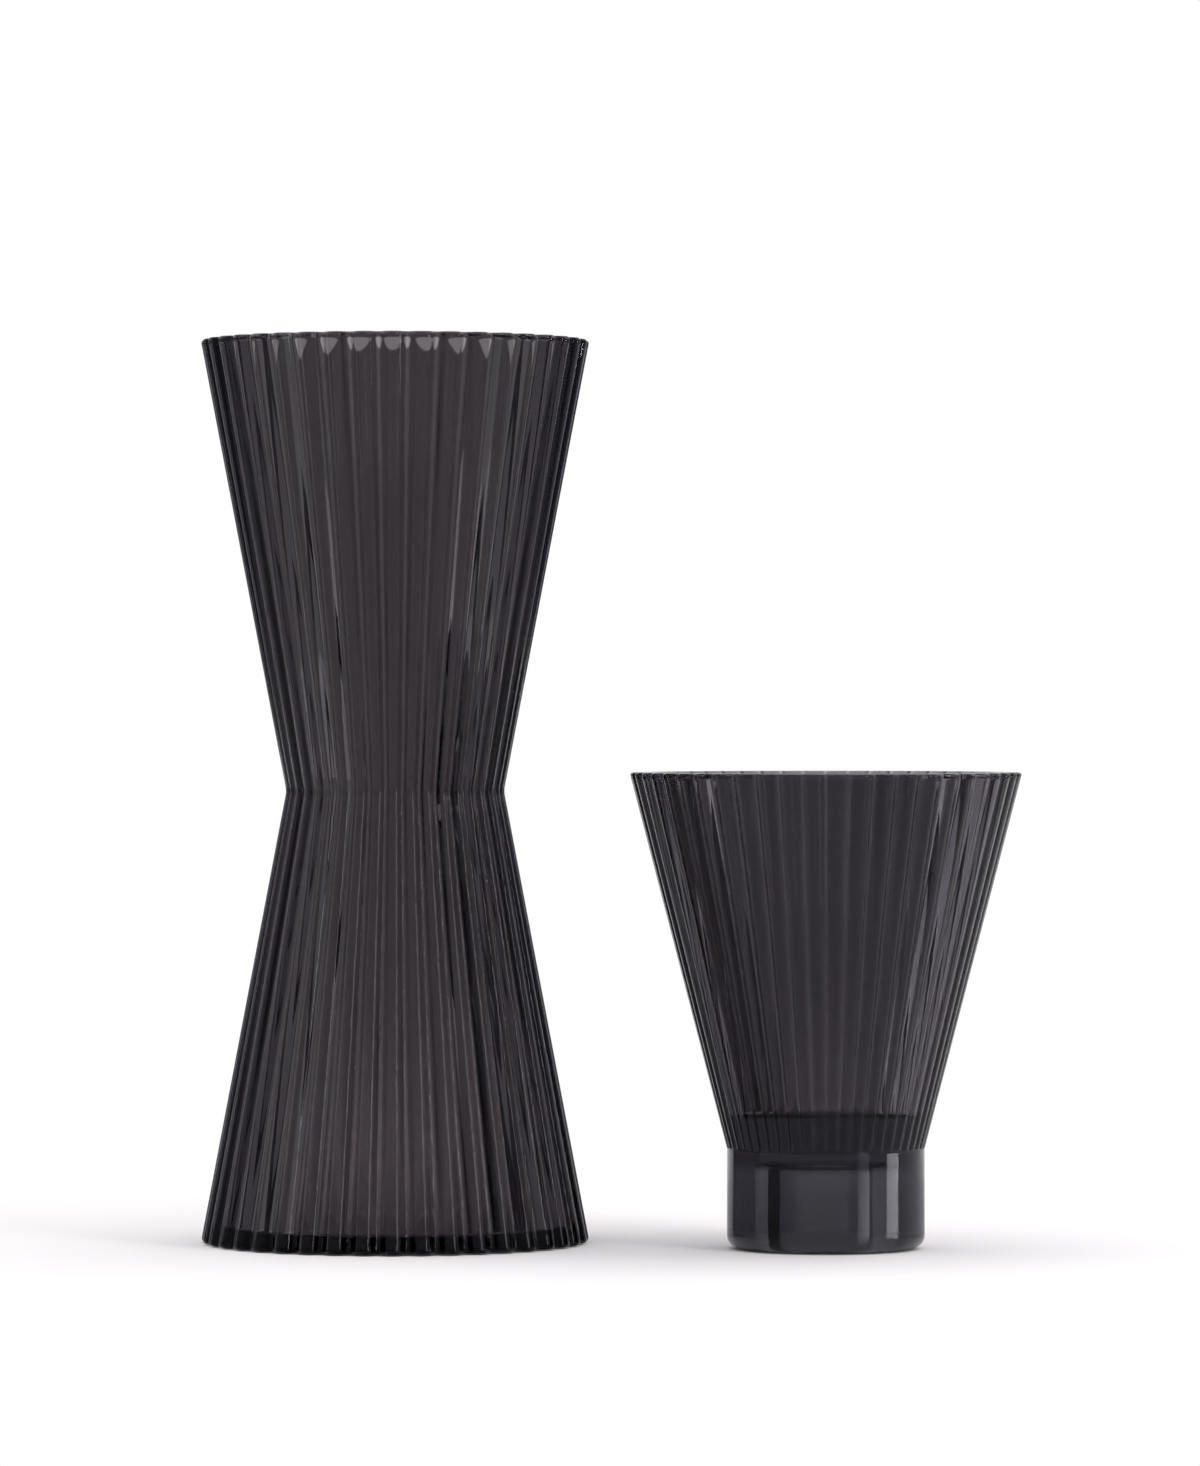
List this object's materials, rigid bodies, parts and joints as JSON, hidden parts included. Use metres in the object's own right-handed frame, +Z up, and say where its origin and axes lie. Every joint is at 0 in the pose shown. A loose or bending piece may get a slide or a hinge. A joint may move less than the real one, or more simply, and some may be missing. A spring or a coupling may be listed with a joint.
{
  "type": "decanter set",
  "caption": "Smoked ribbed glass decanter set: an hourglass carafe for wine or water, and a conical tumbler on a round hollow foot.",
  "frame": {"origin": "on the table under the middle of the set: midway between the carafe's axis and the tumbler's", "axes": "+Z up, +X from the carafe towards the tumbler, +Y away from the front, so that the tumbler stands a little in front of the carafe"},
  "size_m": [0.2098, 0.1196, 0.232],
  "materials": {
    "carafe_glass": "smoked grey glass with a faint purple tint, fire-polished, clear through",
    "tumbler_glass": "smoked grey glass with a faint purple tint, fire-polished, clear through"
  },
  "bodies": {
    "carafe": {"carafe": "carafe_glass"},
    "tumbler": {"tumbler": "tumbler_glass"}
  },
  "joints": [
    {"name": "tumbler_lift", "type": "slide", "parent": "carafe", "child": "tumbler", "axis": [0, 0, 1], "range_m": [0, 0.25]}
  ]
}
